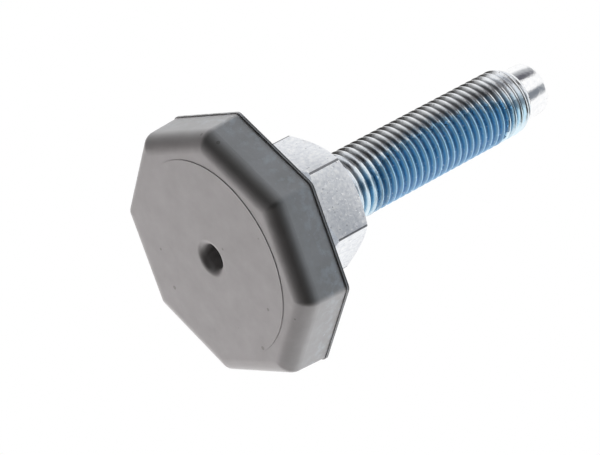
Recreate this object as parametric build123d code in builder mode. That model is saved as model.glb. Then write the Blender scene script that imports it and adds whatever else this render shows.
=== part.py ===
# Appliance levelling leg: an eight-sided rubber pad moulded onto a threaded steel stud
# that has its own hex for a spanner and a nylon locking patch in its thread.
# Millimetres. The origin is the middle of the sole, and +Z runs up the stud.

from build123d import *
import math
import os

os.makedirs("parts", exist_ok=True)

# Rubber pad
pad_across_flats = 35.4
pad_thickness = 7.2
pad_sides = 8
pad_wall_lean = 3.0
sole_edge_radius = 2.5
pad_corner_radius = 1.2
rim_lip_overhang = 0.15
rim_lip_thickness = 0.35
first_corner_angle = 22.5

# Rubber boss that rises from the pad to the underside of the hex
boss_base_radius = 11.5
boss_top_radius = 7.8
boss_hollow = 0.7

# Low disc on the sole that the leg rests on, and the moulding hole in its middle
sole_disc_radius = 14.1
sole_disc_rise = 0.08
sole_hole_diameter = 3.6
sole_hole_mouth_radius = 1.0

# Stud
thread_diameter = 10.0
thread_pitch = 1.25
hex_across_flats = 17.0
hex_height = 7.0
hex_underside = 13.2
hex_chamfer_angle = 30.0
hex_face_ratio = 0.96
hex_flat_angle = 22.0
thread_top = 56.9
thread_end_chamfer = 0.7
dog_diameter = 7.8
dog_end_chamfer = 0.6
overall_height = 61.0

# Plate on the buried end of the stud, which keys it in the rubber
anchor_radius = 10.0
anchor_thickness = 2.6
anchor_underside = 3.6
anchor_edge_break = 0.6
anchor_flat_cut = 1.5

# Nylon locking patch, let into the thread by most of the thread's depth
patch_bottom = 25.0
patch_top = 53.2
patch_middle_angle = -60.0
patch_span = 150.0
patch_depth_ratio = 0.6
pocket_overcut = 1.0

# Selection and joining aids
position_slack = 0.01
level_edge_limit = 0.2
boss_root_depth = 1.0

# Values worked out from those above
thread_radius = thread_diameter / 2
thread_depth = 0.6134 * thread_pitch
hex_top = hex_underside + hex_height
hex_corner_radius = hex_across_flats / 2 / math.cos(math.radians(30))
hex_face_radius = hex_face_ratio * hex_across_flats / 2
hex_chamfer_drop = (hex_corner_radius - hex_face_radius) * math.tan(math.radians(hex_chamfer_angle))
patch_start_angle = patch_middle_angle - patch_span / 2
patch_inner_radius = thread_radius - patch_depth_ratio * thread_depth
boss_waist_radius = (boss_base_radius + boss_top_radius) / 2 - boss_hollow
anchor_top = anchor_underside + anchor_thickness
wall_height = pad_thickness - rim_lip_thickness
octagon_corner_factor = 1 / math.cos(math.pi / pad_sides)
rim_corner_radius = pad_across_flats / 2 * octagon_corner_factor
wall_top_apothem = pad_across_flats / 2 - rim_lip_overhang
wall_drop = wall_height - sole_disc_rise

# Stud: hex first, trimmed by its two chamfer cones, then every round section along the axis
with BuildPart() as stud:
    with BuildSketch(Plane.XZ) as hex_blank:
        with BuildLine():
            Polyline(
                (0, hex_underside),
                (hex_face_radius, hex_underside),
                (hex_corner_radius, hex_underside + hex_chamfer_drop),
                (hex_corner_radius, hex_top - hex_chamfer_drop),
                (hex_face_radius, hex_top),
                (0, hex_top),
                close=True,
            )
        make_face()
    revolve(axis=Axis.Z)
    with BuildSketch(Plane.XY.offset(hex_underside)) as hex_outline:
        RegularPolygon(hex_corner_radius, 6, rotation=hex_flat_angle + 30)
    extrude(amount=hex_height, mode=Mode.INTERSECT)
    with BuildSketch(Plane.XZ) as shank_section:
        with BuildLine():
            Polyline(
                (0, hex_top - hex_height / 2),
                (thread_radius, hex_top - hex_height / 2),
                (thread_radius, thread_top - thread_end_chamfer),
                (thread_radius - thread_end_chamfer, thread_top),
                (dog_diameter / 2, thread_top),
                (dog_diameter / 2, overall_height - dog_end_chamfer),
                (dog_diameter / 2 - dog_end_chamfer, overall_height),
                (0, overall_height),
                close=True,
            )
        make_face()
    revolve(axis=Axis.Z)
    with BuildSketch(Plane.XY.offset(anchor_top)) as neck_outline:
        Circle(thread_radius)
    extrude(amount=hex_underside + hex_height / 2 - anchor_top)
    with BuildSketch(Plane.XY.offset(anchor_underside)) as anchor_outline:
        Circle(anchor_radius)
        Rectangle(2 * (anchor_radius - anchor_flat_cut), 2 * anchor_radius, mode=Mode.INTERSECT)
    extrude(amount=anchor_thickness)
    anchor_low_edges = stud.edges().filter_by_position(
        Axis.Z, anchor_underside - position_slack, anchor_underside + position_slack
    )
    chamfer(anchor_low_edges, length=anchor_edge_break)
    with BuildSketch(Plane.XY.offset(patch_bottom)) as patch_pocket:
        with BuildLine():
            outer_arc = CenterArc((0, 0), thread_radius + pocket_overcut, patch_start_angle, patch_span)
            inner_arc = CenterArc((0, 0), patch_inner_radius, patch_start_angle, patch_span)
            Line(inner_arc @ 0, outer_arc @ 0)
            Line(inner_arc @ 1, outer_arc @ 1)
        make_face()
    extrude(amount=patch_top - patch_bottom, mode=Mode.SUBTRACT)

# Locking patch: it fills the pocket out to the thread's outside diameter
with BuildPart() as locking_patch:
    with BuildSketch(Plane.XY.offset(patch_bottom)) as patch_outline:
        with BuildLine():
            skin_arc = CenterArc((0, 0), thread_radius, patch_start_angle, patch_span)
            seat_arc = CenterArc((0, 0), patch_inner_radius, patch_start_angle, patch_span)
            Line(seat_arc @ 0, skin_arc @ 0)
            Line(seat_arc @ 1, skin_arc @ 1)
        make_face()
    extrude(amount=patch_top - patch_bottom)

# Foot pad: leaning walls, a rolled edge round the sole and softly rounded corners
with BuildPart() as foot_pad:
    with BuildSketch(Plane.XY.offset(wall_height)) as wall_outline:
        RegularPolygon(wall_top_apothem * octagon_corner_factor, pad_sides, rotation=first_corner_angle)
    extrude(amount=-wall_drop, taper=pad_wall_lean)
    sole_face = foot_pad.faces().sort_by(Axis.Z)[0]
    fillet(sole_face.edges(), radius=sole_edge_radius)
    corner_edges = foot_pad.edges().filter_by(lambda edge: abs(edge.tangent_at(0.5).Z) > level_edge_limit)
    fillet(corner_edges, radius=pad_corner_radius)

    # Moulding lip round the top rim
    with BuildSketch(Plane.XY.offset(wall_height)) as lip_outline:
        RegularPolygon(rim_corner_radius, pad_sides, rotation=first_corner_angle)
        fillet(lip_outline.vertices(), radius=pad_corner_radius)
    extrude(amount=rim_lip_thickness)

    # Boss up to the hex
    with BuildSketch(Plane.XZ) as boss_section:
        with BuildLine():
            Polyline(
                (boss_top_radius, hex_underside),
                (0, hex_underside),
                (0, pad_thickness - boss_root_depth),
                (boss_base_radius, pad_thickness - boss_root_depth),
                (boss_base_radius, pad_thickness),
            )
            ThreePointArc(
                (boss_base_radius, pad_thickness),
                (boss_waist_radius, (pad_thickness + hex_underside) / 2),
                (boss_top_radius, hex_underside),
            )
        make_face()
    revolve(axis=Axis.Z)

    # Low disc and central hole in the sole
    with BuildSketch(Plane.XY) as disc_outline:
        Circle(sole_disc_radius)
    extrude(amount=sole_disc_rise)
    with BuildSketch(Plane.XY) as hole_outline:
        Circle(sole_hole_diameter / 2)
    extrude(amount=anchor_underside, mode=Mode.SUBTRACT)
    hole_mouth = foot_pad.edges().filter_by(GeomType.CIRCLE).filter_by_position(
        Axis.Z, -position_slack, position_slack
    ).sort_by(SortBy.RADIUS)[0]
    fillet(hole_mouth, radius=sole_hole_mouth_radius)

    # The rubber is moulded round the stud, so it takes the shape of the buried end
    add(stud.part, mode=Mode.SUBTRACT)

foot_pad.part.label = "foot_pad"
stud.part.label = "stud"
locking_patch.part.label = "locking_patch"
export_step(foot_pad.part, "parts/foot_pad.step")
export_step(stud.part, "parts/stud.step")
export_step(locking_patch.part, "parts/locking_patch.step")

for piece in (foot_pad, stud, locking_patch):
    box = piece.part.bounding_box()
    print(piece.part.label, len(piece.solids()), "solid,", round(piece.part.volume, 1), "mm3,",
          round(box.size.X, 2), round(box.size.Y, 2), round(box.size.Z, 2))
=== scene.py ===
# %% [markdown]
# # Dressing an appliance levelling leg
# The part is a rubber pad moulded onto a threaded, zinc-plated stud. The CAD frame already
# holds every size, so the work here is what a plain solid can't show: the thread itself, the
# nylon that locks it, and the look of rubber and plated steel.
# The frame is loaded first, because each new piece takes its size and place from it.

# %% Load the frame
import bpy
import math
from mathutils import Matrix, Vector, noise


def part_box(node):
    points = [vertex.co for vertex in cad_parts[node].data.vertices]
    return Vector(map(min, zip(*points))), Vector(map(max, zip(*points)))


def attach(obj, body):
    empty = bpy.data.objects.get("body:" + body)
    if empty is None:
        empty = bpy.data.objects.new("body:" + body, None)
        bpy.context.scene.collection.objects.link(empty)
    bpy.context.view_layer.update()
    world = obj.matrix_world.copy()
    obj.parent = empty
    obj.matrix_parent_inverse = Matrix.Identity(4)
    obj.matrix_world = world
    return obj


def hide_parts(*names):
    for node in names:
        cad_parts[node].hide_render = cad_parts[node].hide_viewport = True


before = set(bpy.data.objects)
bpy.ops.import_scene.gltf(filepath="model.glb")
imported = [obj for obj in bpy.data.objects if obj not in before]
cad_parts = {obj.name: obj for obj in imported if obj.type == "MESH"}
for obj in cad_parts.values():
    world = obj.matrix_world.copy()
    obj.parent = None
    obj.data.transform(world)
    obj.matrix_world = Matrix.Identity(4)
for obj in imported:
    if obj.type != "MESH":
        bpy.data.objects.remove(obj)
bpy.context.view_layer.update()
pad_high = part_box("foot_pad")[1]
stud_low, stud_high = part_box("stud")
patch_low, patch_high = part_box("locking_patch")
print("leg height in mm:", round(stud_high[2] * 1000, 2))

# %% [markdown]
# Every operator in Blender works on what is selected, and loading the frame leaves its nodes
# selected. Small helpers keep that under control: one clears the selection, one makes a single
# piece both selected and active, and one applies a modifier so that its shape is real mesh.

# %% Selection helpers
def deselect_all():
    """Leave object mode with nothing selected."""
    if bpy.context.object and bpy.context.object.mode != "OBJECT":
        bpy.ops.object.mode_set(mode="OBJECT")
    bpy.ops.object.select_all(action="DESELECT")


def take(piece):
    """Select one piece alone and make it active."""
    deselect_all()
    piece.select_set(True)
    bpy.context.view_layer.objects.active = piece


def finish_modifier(piece, kind, **settings):
    """Add one modifier, set it up and apply it."""
    take(piece)
    modifier = piece.modifiers.new(kind.lower(), kind)
    for name, value in settings.items():
        setattr(modifier, name, value)
    bpy.ops.object.modifier_apply(modifier=modifier.name)


def count(piece):
    """Print how many triangles a finished piece has."""
    print(piece.name, "triangles:", sum(len(face.vertices) - 2 for face in piece.data.polygons))


# %% [markdown]
# ## Sizes of the stud
# The heights come from the frame's boxes, so they follow the CAD. What a box can't give is named
# here in millimetres: the thread's pitch, the hex and the plain tip. The metal crests stay a
# few hundredths below the full thread size, which is what a real thread's tolerance does, and it
# leaves room for a film of nylon on top of them.

# %% Named sizes
MM = 0.001
THREAD_RADIUS = 5.0 * MM
CREST_TOLERANCE = 0.03 * MM
PITCH = 1.25 * MM
THREAD_DEPTH_SHARE = 0.6134
THREAD_DEPTH = THREAD_DEPTH_SHARE * PITCH
HEX_HEIGHT = 7.0 * MM
HEX_ACROSS_FLATS = 17.0 * MM
HEX_HALF_SIDE = math.radians(30)
HEX_FACE_RATIO = 0.96
HEX_CHAMFER_ANGLE = math.radians(30)
HEX_FLAT_ANGLE = math.radians(22.0)
TIP_RADIUS = 3.9 * MM
TIP_LENGTH = 4.1 * MM
TOLERANCE = 0.001 * MM

crest_radius = THREAD_RADIUS - CREST_TOLERANCE
root_radius = THREAD_RADIUS - THREAD_DEPTH
hex_bottom = pad_high[2]
hex_top = hex_bottom + HEX_HEIGHT
tip_top = stud_high[2]
thread_top = tip_top - TIP_LENGTH
print("turns of thread in sight:", round((thread_top - hex_top) / PITCH, 1))

# %% [markdown]
# ## The thread
# A rolled thread is one groove wound round a bar. Blender's Screw modifier winds a profile the
# same way: the profile is one pitch tall, each turn lifts it by one pitch, and the turns join.
# The profile is the standard 60 degree one, with a narrow flat crest, two straight flanks and a
# rounded root. It is drawn as by hand: a plane is merged to one point, and that point is
# extruded step by step. The nylon uses the same profile later, so it always fits the metal.

# %% Thread profile
PROFILE_STEPS = 16
TURN_STEPS = 72
CREST_FLAT = 0.14
ROOT_START = 0.80
ROUNDING = 0.3
SEED_SIZE = 0.1 * MM
BURIED_TURNS = 2
SPARE_TURNS = 2


def thread_height(share):
    """How high the metal stands at a share of the pitch: 0 in the root, 1 on the crest."""
    from_crest = abs(share - 0.5) * 2
    flank = min(max((ROOT_START - from_crest) / (ROOT_START - CREST_FLAT), 0.0), 1.0)
    rounded = flank * flank * (3 - 2 * flank)
    return (1 - ROUNDING) * flank + ROUNDING * rounded


def wind_profile(name, bottom, turns):
    """Draw one pitch of the thread and wind it up the Z axis, turn after turn."""
    radii = [
        root_radius + (crest_radius - root_radius) * thread_height(i / PROFILE_STEPS)
        for i in range(PROFILE_STEPS + 1)
    ]
    deselect_all()
    bpy.ops.mesh.primitive_plane_add(size=SEED_SIZE, location=(0, 0, 0))
    piece = bpy.context.object
    piece.name = piece.data.name = name
    bpy.ops.object.mode_set(mode="EDIT")
    bpy.ops.mesh.select_all(action="SELECT")
    bpy.ops.mesh.merge(type="CENTER")
    bpy.ops.mesh.select_mode(type="VERT")
    bpy.ops.mesh.select_all(action="SELECT")
    bpy.ops.transform.translate(value=(radii[0], 0, bottom))
    for inner, outer in zip(radii, radii[1:]):
        step = (outer - inner, 0, PITCH / PROFILE_STEPS)
        bpy.ops.mesh.extrude_vertices_move(TRANSFORM_OT_translate={"value": step})
    bpy.ops.object.mode_set(mode="OBJECT")
    finish_modifier(
        piece, "SCREW", angle=math.tau, screw_offset=PITCH, iterations=turns,
        steps=TURN_STEPS, render_steps=TURN_STEPS,
        use_merge_vertices=True, merge_threshold=TOLERANCE,
    )
    return piece


thread_start = hex_top - BURIED_TURNS * PITCH
thread_turns = math.ceil((thread_top - thread_start) / PITCH) + SPARE_TURNS
stud = wind_profile("zinc_stud", thread_start - PITCH, thread_turns)
count(stud)

# %% [markdown]
# The winding ends in two ragged steps. A level cut at each end closes the bar, and the last
# turn is turned down to a cone, as the lathe leaves it, so that the screw starts easily in
# its hole.

# %% Level ends and the lead-in cone
LEAD_IN_LENGTH = 1.5 * MM
LEAD_IN_RADIUS = 4.15 * MM


def cut_level(piece, height, keep_below):
    """Cut a standing piece level at a height and close the cut."""
    take(piece)
    bpy.ops.object.mode_set(mode="EDIT")
    bpy.ops.mesh.select_all(action="SELECT")
    bpy.ops.mesh.bisect(
        plane_co=(0, 0, height), plane_no=(0, 0, 1), use_fill=True,
        clear_outer=keep_below, clear_inner=not keep_below,
    )
    bpy.ops.object.mode_set(mode="OBJECT")


cut_level(stud, thread_top, True)
cut_level(stud, thread_start, False)
for point in stud.data.vertices:
    reach = (thread_top - point.co.z) / LEAD_IN_LENGTH
    limit = LEAD_IN_RADIUS + (crest_radius - LEAD_IN_RADIUS) * min(reach, 1.0)
    radius = math.hypot(point.co.x, point.co.y)
    if radius > limit:
        point.co.x *= limit / radius
        point.co.y *= limit / radius
count(stud)

# %% [markdown]
# ## The hex
# The stud's own hex is a six-sided prism whose corners were turned off at 30 degrees on both
# ends. The prism and a turned double cone are two simple solids, and what they share is
# exactly that shape, so a Boolean does the turning. A small bevel then catches the light on
# every edge, which a knife-sharp edge never does.

# %% Hex collar
HEX_EDGE_BEVEL = 0.22 * MM
HEX_EDGE_ANGLE = math.radians(20)
TURNED_SIDES = 144
hex_corner_radius = HEX_ACROSS_FLATS / 2 / math.cos(HEX_HALF_SIDE)
hex_face_radius = HEX_FACE_RATIO * HEX_ACROSS_FLATS / 2
cone_drop = (hex_corner_radius - hex_face_radius) * math.tan(HEX_CHAMFER_ANGLE)
hex_middle = (hex_bottom + hex_top) / 2

deselect_all()
bpy.ops.mesh.primitive_cylinder_add(
    vertices=6, radius=hex_corner_radius, depth=HEX_HEIGHT, location=(0, 0, hex_middle),
    rotation=(0, 0, HEX_FLAT_ANGLE),
)
hex_collar = bpy.context.object
bpy.ops.object.transform_apply(location=True, rotation=True, scale=True)

deselect_all()
bpy.ops.mesh.primitive_cylinder_add(
    vertices=TURNED_SIDES, radius=hex_corner_radius, depth=HEX_HEIGHT,
    location=(0, 0, hex_middle),
)
turned = bpy.context.object
bpy.ops.object.transform_apply(location=True, rotation=True, scale=True)
bpy.ops.object.mode_set(mode="EDIT")
for height, normal in ((hex_top - cone_drop, 1), (hex_bottom + cone_drop, -1)):
    bpy.ops.mesh.select_all(action="SELECT")
    bpy.ops.mesh.bisect(plane_co=(0, 0, height), plane_no=(0, 0, normal))
bpy.ops.object.mode_set(mode="OBJECT")
for point in turned.data.vertices:
    if abs(point.co.z - hex_middle) > HEX_HEIGHT / 2 - TOLERANCE:
        radius = math.hypot(point.co.x, point.co.y)
        point.co.x *= hex_face_radius / radius
        point.co.y *= hex_face_radius / radius
finish_modifier(hex_collar, "BOOLEAN", operation="INTERSECT", object=turned, solver="EXACT")
bpy.data.objects.remove(turned)
finish_modifier(
    hex_collar, "BEVEL", width=HEX_EDGE_BEVEL, segments=2, limit_method="ANGLE",
    angle_limit=HEX_EDGE_ANGLE, use_clamp_overlap=True,
)
count(hex_collar)

# %% [markdown]
# ## The plain tip and the buried end
# Above the thread the bar is turned down to a smooth tip, which finds the hole before the thread
# does. It is a cylinder with a rolled edge. Inside the rubber the bar goes on as a plain neck
# and ends in a round plate, whose two flats keep it from turning in the pad. The plate's
# underside is what shows at the bottom of the small hole in the sole. Both are cylinders too,
# and two level cuts make the flats.

# %% Tip, buried end and joining
ROUND_SIDES = 96
BAR_EDGE_ANGLE = math.radians(40)
TIP_EDGE = 0.6 * MM
TIP_ROOT = 2 * PITCH
NECK_GAP = 0.1 * MM
NECK_OVERLAP = 0.5 * MM
ANCHOR_RADIUS = 10.0 * MM
ANCHOR_TOP = 6.2 * MM
ANCHOR_FLAT_X = 8.5 * MM
ANCHOR_GAP = 0.05 * MM
ANCHOR_EDGE = 0.4 * MM
STUD_SMOOTH_ANGLE = math.radians(32)


def add_bar(radius, low, high):
    """A plain round bar on the Z axis between two heights."""
    deselect_all()
    bpy.ops.mesh.primitive_cylinder_add(
        vertices=ROUND_SIDES, radius=radius, depth=high - low, location=(0, 0, (low + high) / 2),
    )
    bpy.ops.object.transform_apply(location=True, rotation=True, scale=True)
    return bpy.context.object


tip = add_bar(TIP_RADIUS, thread_top - TIP_ROOT, tip_top)
finish_modifier(
    tip, "BEVEL", width=TIP_EDGE, segments=4, limit_method="ANGLE", angle_limit=BAR_EDGE_ANGLE,
)
neck = add_bar(THREAD_RADIUS - NECK_GAP, ANCHOR_TOP - NECK_OVERLAP, hex_bottom + NECK_OVERLAP)
anchor = add_bar(ANCHOR_RADIUS - ANCHOR_GAP, stud_low[2], ANCHOR_TOP)
bpy.ops.object.mode_set(mode="EDIT")
for side in (-1, 1):
    bpy.ops.mesh.select_all(action="SELECT")
    bpy.ops.mesh.bisect(
        plane_co=(side * ANCHOR_FLAT_X, 0, 0), plane_no=(side, 0, 0),
        use_fill=True, clear_outer=True,
    )
bpy.ops.object.mode_set(mode="OBJECT")
finish_modifier(
    anchor, "BEVEL", width=ANCHOR_EDGE, segments=1, limit_method="ANGLE",
    angle_limit=BAR_EDGE_ANGLE,
)

deselect_all()
for part in (tip, neck, anchor, hex_collar, stud):
    part.select_set(True)
bpy.context.view_layer.objects.active = stud
bpy.ops.object.join()
take(stud)
bpy.ops.object.shade_smooth_by_angle(angle=STUD_SMOOTH_ANGLE)
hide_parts("stud")
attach(stud, "root")
count(stud)

# %% [markdown]
# ## The locking patch
# Nylon powder is melted onto one side of the thread. It partly fills the roots, leaves a thin
# film on the crests, and has no clean edge: it fades out in fingers along the roots. So the
# patch starts as the same thread, wound again in the same place, and each of its points is
# lifted off the metal where there is nylon and sunk below it where there is none.
# The border is measured as an angle round the stud, which is how far the powder was sprayed. It
# leans over from bottom to top, bows outward half way up, and wanders with two noises. The
# margins at the two ends are counted in turns of the thread.

# %% Wind the patch on the thread
PATCH_START = math.radians(-135)
PATCH_SPAN = math.radians(150)
PATCH_FADE = math.radians(10)
FAR_MARGIN = math.radians(6)
BORDER_START = math.radians(12)
BORDER_LEAN = math.radians(8)
BORDER_BOW = math.radians(20)
BROAD_WANDER = math.radians(4)
FINE_WANDER = math.radians(3)
ROOT_REACH = math.radians(4)
LOW_MARGIN, LOW_WANDER = 0.3, 0.3
HIGH_MARGIN, HIGH_WANDER = 0.35, 0.5
FILM = 0.02 * MM
ROOT_FILL = 0.30
FILL_SLOPE = 0.15
SKIN_GAP = 0.002 * MM
SINK = 0.12 * MM
SHELL = 0.2 * MM
NYLON_SMOOTH_ANGLE = math.radians(60)
patch_length = patch_high[2] - patch_low[2]
patch_turns = math.ceil(patch_length / PITCH) + SPARE_TURNS
whole_turns = math.floor((patch_low[2] - thread_start) / PITCH)
patch_bottom_turn = thread_start - PITCH + PITCH * whole_turns
nylon = wind_profile("nylon_patch", patch_bottom_turn, patch_turns)


def patch_cover(into, height, depth):
    """1 well inside the patch and 0 outside it. Deep in a root the nylon reaches further."""
    angle = PATCH_START + into
    round_z = Vector((math.cos(angle), math.sin(angle), 0))
    fine = noise.noise(round_z * 7 + Vector((0, 0, height / MM * 0.8)))
    broad = noise.noise(round_z * 2 + Vector((7, 0, height / MM * 0.2)))
    along = (height - patch_low[2]) / patch_length
    bow = 4 * along * (1 - along)
    border = BORDER_START + BORDER_LEAN * along - BORDER_BOW * bow
    border += BROAD_WANDER * broad + FINE_WANDER * fine - ROOT_REACH * depth
    side = min(into - border, PATCH_SPAN - FAR_MARGIN - into) / PATCH_FADE
    low_end = (height - patch_low[2]) / PITCH - LOW_MARGIN + LOW_WANDER * fine
    high_end = (patch_high[2] - height) / PITCH - HIGH_MARGIN + HIGH_WANDER * fine
    return min(max(min(side, low_end, high_end), 0.0), 1.0)


fill_radius = root_radius + ROOT_FILL * THREAD_DEPTH
for point in nylon.data.vertices:
    into = (math.atan2(point.co.y, point.co.x) - PATCH_START) % math.tau
    point.select = into > PATCH_SPAN or not patch_low[2] <= point.co.z <= patch_high[2]
    radius = math.hypot(point.co.x, point.co.y)
    depth = (crest_radius - radius) / THREAD_DEPTH
    coat = max(radius + FILM, fill_radius + FILL_SLOPE * (radius - root_radius))
    cover = patch_cover(into, point.co.z, depth)
    target = min(coat * cover + (radius - SINK) * (1 - cover), THREAD_RADIUS - SKIN_GAP)
    point.co.x *= target / radius
    point.co.y *= target / radius

take(nylon)
bpy.ops.object.mode_set(mode="EDIT")
bpy.ops.mesh.delete(type="VERT")
bpy.ops.mesh.select_all(action="SELECT")
bpy.ops.mesh.normals_make_consistent(inside=False)
bpy.ops.object.mode_set(mode="OBJECT")
middle_face = nylon.data.polygons[len(nylon.data.polygons) // 2]
if middle_face.normal.dot(Vector((middle_face.center.x, middle_face.center.y, 0))) < 0:
    nylon.data.flip_normals()
finish_modifier(nylon, "SOLIDIFY", thickness=SHELL, offset=-1)
bpy.ops.object.shade_smooth_by_angle(angle=NYLON_SMOOTH_ANGLE)
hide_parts("locking_patch")
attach(nylon, "root")
count(nylon)

# %% [markdown]
# ## Shared effects
# Real rubber and real plating are never one flat colour, and a painted picture would tie the part
# to one image. Noise that is worked out at each point of the surface fits every piece without one.
# The effects that serve more than one material become node groups. Each puts out only a mask from
# 0 to 1, so every material decides for itself what to do with it. Four helpers keep the node
# trees readable: one starts a group, one adds a node with its values, one adds a sum, and one
# multiplies several factors.

# %% Node group helpers
def new_group(name, **inputs):
    """A shader node group with named number inputs and one mask as its output."""
    group = bpy.data.node_groups.new(name, "ShaderNodeTree")
    number = "NodeSocketFloat"
    for label, start in inputs.items():
        socket = group.interface.new_socket(name=label, in_out="INPUT", socket_type=number)
        socket.default_value = start
    group.interface.new_socket(name="Mask", in_out="OUTPUT", socket_type=number)
    return group, group.nodes.new("NodeGroupInput"), group.nodes.new("NodeGroupOutput")


def add_node(tree, kind, **values):
    """A node with its plain attributes and unlinked sockets set."""
    node = tree.nodes.new(kind)
    for name, value in values.items():
        if name in node.inputs:
            node.inputs[name].default_value = value
        else:
            setattr(node, name.replace(" ", "_").lower(), value)
    return node


def add_maths(tree, operation, first, second=0.0, clamp=False):
    """One Math node fed by numbers or by other nodes' sockets."""
    node = tree.nodes.new("ShaderNodeMath")
    node.operation = operation
    node.use_clamp = clamp
    for socket, value in zip(node.inputs, (first, second)):
        if isinstance(value, (int, float)):
            socket.default_value = value
        else:
            tree.links.new(value, socket)
    return node.outputs[0]


def add_product(tree, *factors):
    """Factors multiplied one after another. Each is a number or another node's socket."""
    product = factors[0]
    for factor in factors[1:]:
        product = add_maths(tree, "MULTIPLY", product, factor)
    return product


# %% [markdown]
# Mottling is the cloudy unevenness of a plated or moulded skin: one noise, pulled apart round its
# middle. Scratches are hair lines from handling. Noise squeezed in one direction gives long thin
# streaks, only its highest peaks are kept, and three of these turned different ways cross each
# other as real scratches do.

# %% Mottling and scratches
NOISE_MIDDLE = 0.5
STREAK_SQUEEZE = (1.0, 0.04, 1.0)
STREAK_TURNS = ((0.4, 0.9, 0.2), (1.3, 0.2, 2.1), (2.2, 1.4, 0.8))
STREAK_PEAK = 0.80
STREAK_REACH = 0.2
STREAK_SHARPNESS = 16.0

mottling, mottling_in, mottling_out = new_group("mottling", Scale=400.0, Contrast=1.0)
coordinates = add_node(mottling, "ShaderNodeTexCoord")
cloud = add_node(mottling, "ShaderNodeTexNoise", Detail=6.0, Roughness=0.6)
mottling.links.new(coordinates.outputs["Object"], cloud.inputs["Vector"])
mottling.links.new(mottling_in.outputs["Scale"], cloud.inputs["Scale"])
centred = add_maths(mottling, "SUBTRACT", cloud.outputs["Fac"], NOISE_MIDDLE)
apart = add_product(mottling, centred, mottling_in.outputs["Contrast"])
apart = add_maths(mottling, "ADD", apart, NOISE_MIDDLE, clamp=True)
mottling.links.new(apart, mottling_out.inputs["Mask"])

scratches, scratches_in, scratches_out = new_group("scratches", Scale=300.0, Amount=0.5)
coordinates = add_node(scratches, "ShaderNodeTexCoord")
level = add_product(scratches, scratches_in.outputs["Amount"], STREAK_REACH)
level = add_maths(scratches, "SUBTRACT", STREAK_PEAK, level)
total = None
for turn in STREAK_TURNS:
    turned_place = add_node(scratches, "ShaderNodeMapping", Rotation=turn, Scale=STREAK_SQUEEZE)
    scratches.links.new(coordinates.outputs["Object"], turned_place.inputs["Vector"])
    streak = add_node(scratches, "ShaderNodeTexNoise", Detail=2.0, Roughness=0.5)
    scratches.links.new(turned_place.outputs["Vector"], streak.inputs["Vector"])
    scratches.links.new(scratches_in.outputs["Scale"], streak.inputs["Scale"])
    above = add_maths(scratches, "SUBTRACT", streak.outputs["Fac"], level)
    line = add_maths(scratches, "MULTIPLY", above, STREAK_SHARPNESS, clamp=True)
    total = line if total is None else add_maths(scratches, "MAXIMUM", total, line)
scratches.links.new(total, scratches_out.inputs["Mask"])
print("groups:", mottling.name, scratches.name)

# %% [markdown]
# Specks are small separate marks: dust on the rubber, pits and dents in the plating, and painted
# glints in the nylon. A cell pattern gives each mark its own middle, and the cell's random colour
# decides whether the mark is there at all and how large it is, so no two patches look alike.

# %% Specks
SPECK_SHARPNESS = 30.0
specks, specks_in, specks_out = new_group("specks", Scale=300.0, Size=0.1, Amount=0.3)
coordinates = add_node(specks, "ShaderNodeTexCoord")
cells = add_node(specks, "ShaderNodeTexVoronoi")
specks.links.new(coordinates.outputs["Object"], cells.inputs["Vector"])
specks.links.new(specks_in.outputs["Scale"], cells.inputs["Scale"])
chance = add_node(specks, "ShaderNodeSeparateColor")
specks.links.new(cells.outputs["Color"], chance.inputs["Color"])
chosen = add_maths(specks, "LESS_THAN", chance.outputs["Red"], specks_in.outputs["Amount"])
reach = add_product(specks, specks_in.outputs["Size"], chance.outputs["Green"])
nearness = add_maths(specks, "SUBTRACT", reach, cells.outputs["Distance"])
dot = add_maths(specks, "MULTIPLY", nearness, SPECK_SHARPNESS, clamp=True)
specks.links.new(add_product(specks, dot, chosen), specks_out.inputs["Mask"])
print("group:", specks.name)

# %% [markdown]
# The nylon is sprayed on as powder, so it has no sharp border: it thins out to a blue haze on the
# bare metal. This mask is 1 where the spray was full and fades out sideways and at both ends.
# The nylon uses it to thin out at its edges, and the zinc uses a wider one for the haze, so the
# two meet without a line. Its border leans and bows as that of the patch does, and a cloudy
# noise carries it to and fro.

# %% The spray of nylon
SPRAY_START = math.radians(18)
SPRAY_FAR_MARGIN = math.radians(8)
SPRAY_WANDER = math.radians(50)
SPRAY_END_REACH = 0.6
LOW_STEEPNESS = 7.0
HIGH_STEEPNESS = 10.0

spray, spray_in, spray_out = new_group("spray", Spread=0.0, Softness=0.2)
spread, softness = spray_in.outputs["Spread"], spray_in.outputs["Softness"]
coordinates = add_node(spray, "ShaderNodeTexCoord")
axes = add_node(spray, "ShaderNodeSeparateXYZ")
spray.links.new(coordinates.outputs["Object"], axes.inputs["Vector"])
angle = add_maths(spray, "ARCTAN2", axes.outputs["Y"], axes.outputs["X"])
into = add_maths(spray, "SUBTRACT", angle, PATCH_START)
along = add_maths(spray, "SUBTRACT", axes.outputs["Z"], patch_low[2])
along = add_maths(spray, "DIVIDE", along, patch_length)
bow = add_product(spray, along, add_maths(spray, "SUBTRACT", 1.0, along), 4.0)
border = add_maths(spray, "SUBTRACT", SPRAY_START, add_product(spray, bow, BORDER_BOW))
border = add_maths(spray, "ADD", border, add_product(spray, along, BORDER_LEAN))
cloudy = add_node(spray, "ShaderNodeTexNoise", Scale=900.0, Detail=4.0, Roughness=0.6)
spray.links.new(coordinates.outputs["Object"], cloudy.inputs["Vector"])
wander = add_maths(spray, "SUBTRACT", cloudy.outputs["Fac"], NOISE_MIDDLE)
wander = add_maths(spray, "ADD", add_product(spray, wander, SPRAY_WANDER), spread)
near_side = add_maths(spray, "ADD", add_maths(spray, "SUBTRACT", into, border), wander)
near_side = add_maths(spray, "DIVIDE", near_side, softness, clamp=True)
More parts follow.
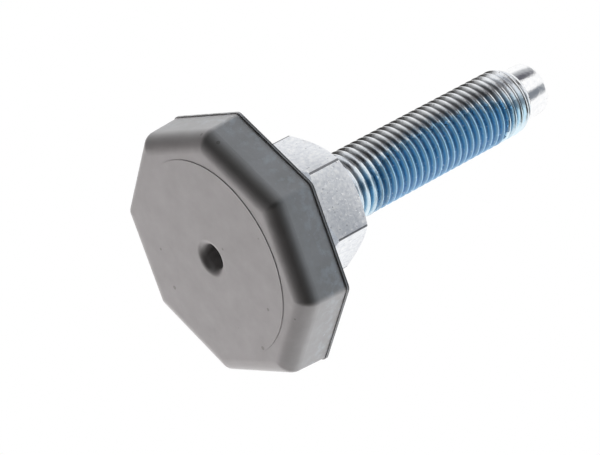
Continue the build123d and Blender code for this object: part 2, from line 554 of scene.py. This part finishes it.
far_side = add_maths(spray, "SUBTRACT", PATCH_SPAN - SPRAY_FAR_MARGIN, into)
far_side = add_maths(spray, "ADD", far_side, wander)
far_side = add_maths(spray, "DIVIDE", far_side, softness, clamp=True)
reach = add_product(spray, spread, SPRAY_END_REACH)
low_end = add_maths(spray, "ADD", along, reach)
low_end = add_maths(spray, "MULTIPLY", low_end, LOW_STEEPNESS, clamp=True)
high_end = add_maths(spray, "SUBTRACT", add_maths(spray, "ADD", reach, 1.0), along)
high_end = add_maths(spray, "MULTIPLY", high_end, HIGH_STEEPNESS, clamp=True)
sprayed = add_product(spray, near_side, far_side, low_end, high_end)
spray.links.new(sprayed, spray_out.inputs["Mask"])
print("group:", spray.name)

# %% [markdown]
# ## Materials
# Each material starts from the same shader, and a few moves come back in all three: place a
# group, turn a mask into colours, mix two colours, stretch a mask to a range, let a mask climb
# over a length, and raise a bump. They are written once here, so each material below reads as a
# short list of what is on it.

# %% Material helpers
WHITE = (1.0, 1.0, 1.0)


def new_material(name):
    """An empty node material with its Principled shader."""
    material = bpy.data.materials.new(name)
    material.use_nodes = True
    return material, material.node_tree, material.node_tree.nodes["Principled BSDF"]


def add_group(tree, group, **values):
    """Place a group in a material with its own values, and give back its mask."""
    node = tree.nodes.new("ShaderNodeGroup")
    node.node_tree = group
    for name, value in values.items():
        node.inputs[name].default_value = value
    return node.outputs["Mask"]


def add_colours(tree, mask, stops):
    """A colour ramp over a mask. Stops are (place, colour)."""
    ramp = tree.nodes.new("ShaderNodeValToRGB")
    while len(ramp.color_ramp.elements) < len(stops):
        ramp.color_ramp.elements.new(0.5)
    for element, (place, colour) in zip(ramp.color_ramp.elements, stops):
        element.position = place
        element.color = (*colour, 1.0)
    tree.links.new(mask, ramp.inputs["Fac"])
    return ramp.outputs["Color"]


def mix_colours(tree, mask, first, second, blend="MIX"):
    """Mix two colours by a mask. Each is a socket or plain numbers."""
    node = tree.nodes.new("ShaderNodeMix")
    node.data_type = "RGBA"
    node.blend_type = blend
    sockets = (node.inputs["Factor"], node.inputs[6], node.inputs[7])
    for socket, value in zip(sockets, (mask, first, second)):
        if isinstance(value, tuple):
            socket.default_value = (*value, 1.0)
        elif isinstance(value, (int, float)):
            socket.default_value = value
        else:
            tree.links.new(value, socket)
    return node.outputs[2]


def add_range(tree, mask, low, high):
    """Stretch a 0 to 1 mask to run between two numbers."""
    node = tree.nodes.new("ShaderNodeMapRange")
    node.inputs["To Min"].default_value = low
    node.inputs["To Max"].default_value = high
    tree.links.new(mask, node.inputs["Value"])
    return node.outputs["Result"]


def add_climb(tree, value, start, length):
    """0 at the start and 1 a length further on. A length below zero runs the other way."""
    beyond = add_maths(tree, "SUBTRACT", value, start)
    return add_maths(tree, "DIVIDE", beyond, length, clamp=True)


def add_bump(tree, shader, height, strength, distance):
    """Turn a mask into relief on the shader."""
    node = tree.nodes.new("ShaderNodeBump")
    node.inputs["Strength"].default_value = strength
    node.inputs["Distance"].default_value = distance
    tree.links.new(height, node.inputs["Height"])
    tree.links.new(node.outputs["Normal"], shader.inputs["Normal"])


def object_axes(tree):
    """The object's own X, Y and Z as three sockets."""
    place = tree.nodes.new("ShaderNodeTexCoord")
    split = tree.nodes.new("ShaderNodeSeparateXYZ")
    tree.links.new(place.outputs["Object"], split.inputs["Vector"])
    return split.outputs["X"], split.outputs["Y"], split.outputs["Z"]


def add_radius(tree, x, y):
    """The distance from the stud's axis."""
    squares = add_maths(tree, "ADD", add_product(tree, x, x), add_product(tree, y, y))
    return add_maths(tree, "SQRT", squares)


# %% [markdown]
# The pad is dark grey rubber with a satin skin, so it is rough with a weak shine. The sole has a
# little dust and a few scuffs. The walls carry lighter, cool patches, which a mask that grows
# above the rolled edge puts only there: the patches are rubbed skin, and their cool tint is
# painted light for the cool light on the walls. The thin lip round the rim is flash from the
# mould, and it is painted near black as the shade along the rim's edge: a dark line that starts
# softly and is broken along one side, so its colour follows the height on the pad. A dull coat
# over it all gives the sheen that rubber has at a low angle.

# %% Rubber
PAD_THICKNESS = 7.2 * MM
LIP_THICKNESS = 0.36 * MM
LIP_FADE_FROM = 0.42 * MM
LIP_FADE = 0.35 * MM
SOLE_EDGE = 2.5 * MM
SHADE_GAP_X = -17.0 * MM
LEVEL_SLACK = 0.01 * MM
RUBBER_GRAIN = 0.04 * MM
rubber, tree, shader = new_material("pad_rubber")
x, _, z = object_axes(tree)
cloud = add_group(tree, mottling, Scale=260.0, Contrast=1.5)
colour = add_colours(tree, cloud, [(0.2, (0.232, 0.227, 0.225)), (0.8, (0.288, 0.280, 0.283))])
dirt = add_group(tree, specks, Scale=700.0, Size=0.26, Amount=0.07)
colour = mix_colours(tree, add_product(tree, dirt, 0.6), colour, (0.09, 0.085, 0.08))
scuffs = add_group(tree, scratches, Scale=500.0, Amount=0.25)
colour = mix_colours(tree, add_product(tree, scuffs, 0.35), colour, (0.39, 0.38, 0.38))
on_wall = add_climb(tree, z, SOLE_EDGE, SOLE_EDGE)
# Partly painted light: rubbed patches on the walls, whose cool, lighter tint paints in the cool
# light there.
rub_and_cool_light = add_group(tree, mottling, Scale=900.0, Contrast=3.5)
rub_and_cool_light = add_maths(tree, "SUBTRACT", rub_and_cool_light, 0.45, clamp=True)
colour = mix_colours(tree, add_product(tree, rub_and_cool_light, on_wall, 0.8), colour, (0.36, 0.385, 0.42))
below_top = add_maths(tree, "LESS_THAN", z, PAD_THICKNESS - LEVEL_SLACK)
nicks = add_group(tree, scratches, Scale=1500.0, Amount=0.45)
nicks = add_product(tree, nicks, on_wall, below_top, 0.7)
colour = mix_colours(tree, nicks, colour, (0.36, 0.39, 0.44))
# Painted shade: the lip is painted near black as the shade line along the rim's edge, fading in at
# its foot and broken along one side.
on_lip = add_maths(tree, "GREATER_THAN", z, PAD_THICKNESS - LIP_THICKNESS)
lip_shade = add_climb(tree, z, PAD_THICKNESS - LIP_FADE_FROM, LIP_FADE)
broken = add_group(tree, mottling, Scale=700.0, Contrast=9.0)
shade_gap_side = add_maths(tree, "LESS_THAN", x, SHADE_GAP_X)
gap = add_product(tree, shade_gap_side, add_maths(tree, "SUBTRACT", 1.0, broken))
unbroken = add_maths(tree, "SUBTRACT", 1.0, gap)
lip_painted_shade = add_product(tree, on_lip, below_top, lip_shade, unbroken)
colour = mix_colours(tree, lip_painted_shade, colour, (0.02, 0.02, 0.02))
tree.links.new(colour, shader.inputs["Base Color"])
tree.links.new(add_range(tree, cloud, 0.50, 0.62), shader.inputs["Roughness"])
shader.inputs["Specular IOR Level"].default_value = 0.3
shader.inputs["Coat Weight"].default_value = 0.6
shader.inputs["Coat Roughness"].default_value = 0.35
grain = add_group(tree, mottling, Scale=3200.0, Contrast=1.5)
add_bump(tree, shader, grain, 0.12, RUBBER_GRAIN)
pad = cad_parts["foot_pad"]
pad.data.materials.clear()
pad.data.materials.append(rubber)
print("rubber on", pad.name)

# %% [markdown]
# Zinc plating is a metal with a cloudy grain, fine scratches and small pits. It is duller on the
# hex, which is tumbled against other parts and so has a blotched grain and small dents, and
# smoother on the rolled thread and the turned tip. Shade is painted into the thread's roots and a
# highlight onto its crests, so there the tone follows the distance from the axis: dark in the
# root, bright on the crest. The first turns and above all the last ones get a painted highlight
# too. The hex's corner edges are painted dark as shade, and the haze of nylon tints the thread
# near the patch, over the same painted shade and highlight.

# %% Zinc
HEX_CORNER_SHADE_WIDTH = 0.10 * MM
HEX_STARTS = THREAD_RADIUS + 0.5 * MM
TIP_SHOULDER = 0.2 * MM
END_HIGHLIGHT_LENGTH = 6.0 * MM
FIRST_TURNS = 7.0 * MM
THREAD_ROUGHNESS = 0.18
HEX_ROUGHER = 0.14
TIP_SMOOTHER = 0.09
PLATE_GRAIN = 0.03 * MM
zinc, tree, shader = new_material("zinc_plate")
shader.inputs["Metallic"].default_value = 1.0
x, y, z = object_axes(tree)
radius = add_radius(tree, x, y)
cloud = add_group(tree, mottling, Scale=1700.0, Contrast=2.6)
plate = add_colours(tree, cloud, [
    (0.15, (0.78, 0.80, 0.84)), (0.6, (0.92, 0.935, 0.96)), (0.9, WHITE),
])
lines = add_group(tree, scratches, Scale=2400.0, Amount=0.6)
plate = mix_colours(tree, lines, plate, WHITE)
pits = add_group(tree, specks, Scale=2600.0, Size=0.40, Amount=0.16)
plate = mix_colours(tree, pits, plate, (0.56, 0.57, 0.60))
on_hex = add_maths(tree, "GREATER_THAN", radius, HEX_STARTS)
tumbled = add_group(tree, mottling, Scale=2200.0, Contrast=6.0)
plate = mix_colours(tree, add_product(tree, tumbled, on_hex, 0.3), plate, (0.70, 0.73, 0.77))
on_tip = add_maths(tree, "GREATER_THAN", z, thread_top)
plate = mix_colours(tree, add_product(tree, on_tip, 0.7), plate, WHITE)
# Painted shade: the hex's corner edges are darkened as the shade on them.
hex_corner_shade = add_maths(tree, "GREATER_THAN", radius, hex_corner_radius - HEX_CORNER_SHADE_WIDTH)
plate = mix_colours(tree, add_product(tree, hex_corner_shade, 0.8), plate, (0.10, 0.10, 0.11))
over_hex = add_maths(tree, "GREATER_THAN", z, hex_top + LEVEL_SLACK)
under_tip = add_maths(tree, "LESS_THAN", z, thread_top - TIP_SHOULDER)
on_thread = add_product(tree, over_hex, under_tip)
# Painted shade and highlight: dark in the roots, light on the crests, and lighter over the first
# and last turns.
rise = add_climb(tree, radius, root_radius, THREAD_DEPTH)
end_highlight = add_climb(tree, z, thread_top - END_HIGHLIGHT_LENGTH, END_HIGHLIGHT_LENGTH)
rise = add_maths(tree, "ADD", rise, end_highlight, clamp=True)
first_turns_highlight = add_climb(tree, z, hex_top + FIRST_TURNS, -FIRST_TURNS)
rise = add_maths(tree, "ADD", rise, add_product(tree, first_turns_highlight, 0.5), clamp=True)
thread_shade_and_highlight = add_colours(tree, rise, [
    (0.1, (0.18, 0.18, 0.18)), (0.6, (0.34, 0.35, 0.36)), (0.95, (0.86, 0.88, 0.91)),
])
thread_shade_and_highlight = mix_colours(tree, add_product(tree, pits, 0.6), thread_shade_and_highlight, (0.25, 0.25, 0.26))
film = add_group(tree, spray, Spread=0.25, Softness=0.7)
# The haze carries the same painted shade in the roots and painted highlight on the crests.
tinted = add_colours(tree, rise, [
    (0.1, (0.08, 0.22, 0.38)), (0.6, (0.25, 0.45, 0.62)), (0.95, (0.77, 0.92, 1.0)),
])
filmed = mix_colours(tree, film, thread_shade_and_highlight, tinted)
colour = mix_colours(tree, on_thread, plate, filmed)
tree.links.new(colour, shader.inputs["Base Color"])
roughness = add_maths(tree, "ADD", add_product(tree, on_hex, HEX_ROUGHER), THREAD_ROUGHNESS)
roughness = add_maths(tree, "SUBTRACT", roughness, add_product(tree, on_tip, TIP_SMOOTHER))
tree.links.new(roughness, shader.inputs["Roughness"])
flecks = add_group(tree, specks, Scale=1500.0, Size=0.42, Amount=0.22)
dents = add_maths(tree, "ADD", add_product(tree, flecks, 4.0), add_product(tree, lines, 2.5))
relief = add_maths(tree, "ADD", cloud, add_product(tree, dents, on_hex))
add_bump(tree, shader, relief, 0.35, PLATE_GRAIN)
stud.data.materials.clear()
stud.data.materials.append(zinc)
print("zinc on", stud.name)

# %% [markdown]
# The nylon is azure blue. It lies thick in the roots and thin on the crests, where the metal
# shines through, so the colour runs from deep blue to pale blue with the distance from the axis,
# and the pale crests are also a painted highlight. The melted powder leaves a half gloss with
# small glints: a thin clear coat gives them, and light specks add painted glints. Toward one side
# of the stud the blue is painted darker as shade. The spray mask makes it see-through where it
# thins out.

# %% Nylon
SIDE_SHADE_FROM = math.radians(-85)
SIDE_SHADE_TO = math.radians(-40)
FILLED_TO = 0.25
NYLON_GRAIN = 0.03 * MM
blue, tree, shader = new_material("patch_nylon")
x, y, _ = object_axes(tree)
radius = add_radius(tree, x, y)
fill_top = root_radius + FILLED_TO * THREAD_DEPTH
# Partly painted highlight: the crests are pale where the film is thin, and paler still as a
# painted highlight.
rise = add_climb(tree, radius, fill_top, (1 - FILLED_TO) * THREAD_DEPTH)
colour = add_colours(tree, rise, [
    (0.05, (0.02, 0.20, 0.46)), (0.35, (0.10, 0.41, 0.72)), (0.7, (0.46, 0.73, 0.90)),
])
cloud = add_group(tree, mottling, Scale=1600.0, Contrast=2.0)
colour = mix_colours(tree, add_range(tree, cloud, 0.0, 0.35), colour, (0.27, 0.58, 0.80))
# Painted shade: the blue is darkened toward one side of the stud.
angle = add_maths(tree, "ARCTAN2", y, x)
side_shade = add_climb(tree, angle, SIDE_SHADE_FROM, SIDE_SHADE_TO - SIDE_SHADE_FROM)
shaded_blue = mix_colours(tree, 1.0, colour, (0.42, 0.52, 0.62), "MULTIPLY")
colour = mix_colours(tree, side_shade, colour, shaded_blue)
thick = add_group(tree, spray, Spread=0.0, Softness=0.35)
tree.links.new(thick, shader.inputs["Alpha"])
# Painted glints: small light specks in the blue.
painted_glints = add_group(tree, specks, Scale=3000.0, Size=0.45, Amount=0.30)
colour = mix_colours(tree, add_product(tree, painted_glints, 0.55), colour, (0.62, 0.80, 0.90))
tree.links.new(colour, shader.inputs["Base Color"])
tree.links.new(add_range(tree, cloud, 0.22, 0.42), shader.inputs["Roughness"])
shader.inputs["Coat Weight"].default_value = 0.4
shader.inputs["Coat Roughness"].default_value = 0.15
add_bump(tree, shader, cloud, 0.25, NYLON_GRAIN)
nylon.data.materials.clear()
nylon.data.materials.append(blue)
print("nylon on", nylon.name)

# %% [markdown]
# ## Studio
# The photo looks up at the sole against plain white, so the floor is a plain pale sheet that is
# only there for a camera above it. From below it is clear, and light passes through it, so it
# hides nothing. It is a stage piece and not part of the leg.

# %% Floor
FLOOR_SIZE = 3.0
FLOOR_GAP = 0.2 * MM
deselect_all()
bpy.ops.mesh.primitive_plane_add(size=FLOOR_SIZE, location=(0, 0, -FLOOR_GAP))
floor = bpy.context.object
floor.name = "floor"
paper, tree, shader = new_material("floor_paper")
shader.inputs["Base Color"].default_value = (0.9, 0.9, 0.9, 1)
shader.inputs["Roughness"].default_value = 0.9
clear = tree.nodes.new("ShaderNodeBsdfTransparent")
light_path = tree.nodes.new("ShaderNodeLightPath")
facing = tree.nodes.new("ShaderNodeNewGeometry")
front = add_maths(tree, "SUBTRACT", 1.0, facing.outputs["Backfacing"])
seen = add_product(tree, light_path.outputs["Is Camera Ray"], front)
choose = tree.nodes.new("ShaderNodeMixShader")
tree.links.new(seen, choose.inputs["Fac"])
tree.links.new(clear.outputs["BSDF"], choose.inputs[1])
tree.links.new(shader.outputs["BSDF"], choose.inputs[2])
tree.links.new(choose.outputs["Shader"], tree.nodes["Material Output"].inputs["Surface"])
floor.data.materials.append(paper)
print("stage piece:", floor.name)

# %% [markdown]
# The camera stands where the photographer stood. Its place comes from points whose real position
# is known: the corners of the pad, the hex and the ends of the thread. Fitting those gives the
# distance, the direction and the focal length together. It is kept as two arrows, right and
# up in the picture, and a place in millimetres.

# %% Camera
LENS_MM = 162.24
SENSOR_MM = 36.0
PLACE_MM = (-82.468, -294.569, -184.965)
PICTURE_RIGHT = (0.32414, -0.59331, 0.73683)
PICTURE_UP = (-0.91738, -0.00696, 0.39796)
deselect_all()
bpy.ops.object.camera_add()
camera = bpy.context.object
camera.name = "photo_camera"
bpy.context.scene.camera = camera
camera.data.lens = LENS_MM
camera.data.sensor_width = SENSOR_MM
camera.data.sensor_fit = "HORIZONTAL"
camera.data.clip_start = 0.01
camera_right = Vector(PICTURE_RIGHT).normalized()
camera_up = Vector(PICTURE_UP).normalized()
camera_back = camera_right.cross(camera_up).normalized()
camera_up = camera_back.cross(camera_right)
place = Matrix((camera_right, camera_up, camera_back)).transposed().to_4x4()
place.translation = Vector(PLACE_MM) * MM
camera.matrix_world = place
print("camera to sole in mm:", round(place.translation.length / MM))

# %% [markdown]
# Soft square lamps light the rubber and the nylon. Each one has a level, which is how bright it
# alone makes a white face turned to it, so the numbers can be read: two lamps from below light
# the sole, two light the walls from behind and from the side, and a cool one high above the
# camera lifts the walls next to the dark rolled edge. They are kept out of reflections, because
# mirrored squares on the thread would look like no real studio.

# %% Lamps
AIM = Vector((0, 0, 0.025))
LAMP_DISTANCE = 0.7


def direction(azimuth, elevation):
    """A unit arrow from the leg toward a place in the studio, in degrees."""
    turn, rise = math.radians(azimuth), math.radians(elevation)
    flat = math.cos(rise)
    return Vector((math.cos(turn) * flat, math.sin(turn) * flat, math.sin(rise)))


def add_lamp(name, azimuth, elevation, size, level, colour):
    """A square soft lamp that looks at the leg and lights a face turned to it to this level."""
    away = direction(azimuth, elevation)
    deselect_all()
    bpy.ops.object.light_add(type="AREA", location=AIM + away * LAMP_DISTANCE)
    lamp = bpy.context.object
    lamp.name = name
    lamp.rotation_euler = away.to_track_quat("Z", "Y").to_euler()
    lamp.data.size = size
    lamp.data.energy = level * (math.pi * LAMP_DISTANCE) ** 2
    lamp.data.color = colour
    lamp.visible_glossy = False
    return lamp


LAMPS = (
    ("under_lamp", 76, -27, 0.5, 1.68, (1.0, 0.955, 0.96)),
    ("under_lamp_side", 14, -25, 0.5, 0.62, (1.0, 0.97, 0.97)),
    ("front_lamp", -106, 60, 0.4, 1.4, (0.82, 0.92, 1.0)),
    ("back_lamp", 150, 28, 0.4, 1.25, (0.98, 0.99, 1.0)),
    ("side_lamp", -6, 28, 0.4, 1.2, (0.98, 0.99, 1.0)),
)
for lamp in LAMPS:
    print("lamp:", add_lamp(*lamp).name)

# %% [markdown]
# Plated steel looks like what stands round it. A photographer sets white and black cards round a
# shiny part, and the same is done here in the world's colour: white all round, with soft round
# cards in a few directions, each laid over those before it. The one below and in front keeps the
# rolled edge dark, the ones beside the camera draw the two bands on the tip and shade the near
# face of the hex, the white one keeps the tip bright between them, and the one behind darkens
# the roots of the thread. The rubber takes only a twentieth of this light, because the lamps
# are there for it. The camera itself sees plain white.

# %% World
CARDS = (
    ("dark_front", -80, -52, 70, 42, (0.035, 0.030, 0.026)),
    ("grey_left", 180, 32, 28, 12, (0.42, 0.43, 0.45)),
    ("dark_left", -162, 32, 22, 10, (0.13, 0.13, 0.15)),
    ("dark_right", -80, 33, 27, 13, (0.22, 0.24, 0.27)),
    ("bright_middle", -122, 33, 28, 19, WHITE),
    ("dark_behind", 112, -16, 36, 16, (0.06, 0.055, 0.05)),
)
DIFFUSE_SHARE = 0.05
world = bpy.data.worlds.new("studio")
bpy.context.scene.world = world
world.use_nodes = True
tree = world.node_tree
backdrop = tree.nodes["Background"]
sky = tree.nodes.new("ShaderNodeTexCoord")
seen_colour = WHITE
for label, azimuth, elevation, outer, inner, colour in CARDS:
    toward = tree.nodes.new("ShaderNodeVectorMath")
    toward.operation = "DOT_PRODUCT"
    toward.label = label
    toward.inputs[1].default_value = direction(azimuth, elevation)
    tree.links.new(sky.outputs["Generated"], toward.inputs[0])
    edge = tree.nodes.new("ShaderNodeMapRange")
    edge.interpolation_type = "SMOOTHSTEP"
    edge.inputs["From Min"].default_value = math.cos(math.radians(outer))
    edge.inputs["From Max"].default_value = math.cos(math.radians(inner))
    tree.links.new(toward.outputs["Value"], edge.inputs["Value"])
    seen_colour = mix_colours(tree, edge.outputs["Result"], seen_colour, colour)
rays = tree.nodes.new("ShaderNodeLightPath")
straight = (rays.outputs["Is Camera Ray"], rays.outputs["Is Transmission Ray"])
shown = add_maths(tree, "MAXIMUM", *straight)
dimmed = mix_colours(tree, DIFFUSE_SHARE, (0.0, 0.0, 0.0), seen_colour)
lighting = mix_colours(tree, rays.outputs["Is Diffuse Ray"], seen_colour, dimmed)
tree.links.new(mix_colours(tree, shown, lighting, WHITE), backdrop.inputs["Color"])
backdrop.inputs["Strength"].default_value = 1.0
bpy.context.scene.view_settings.view_transform = "Standard"
print("cards:", len(CARDS))
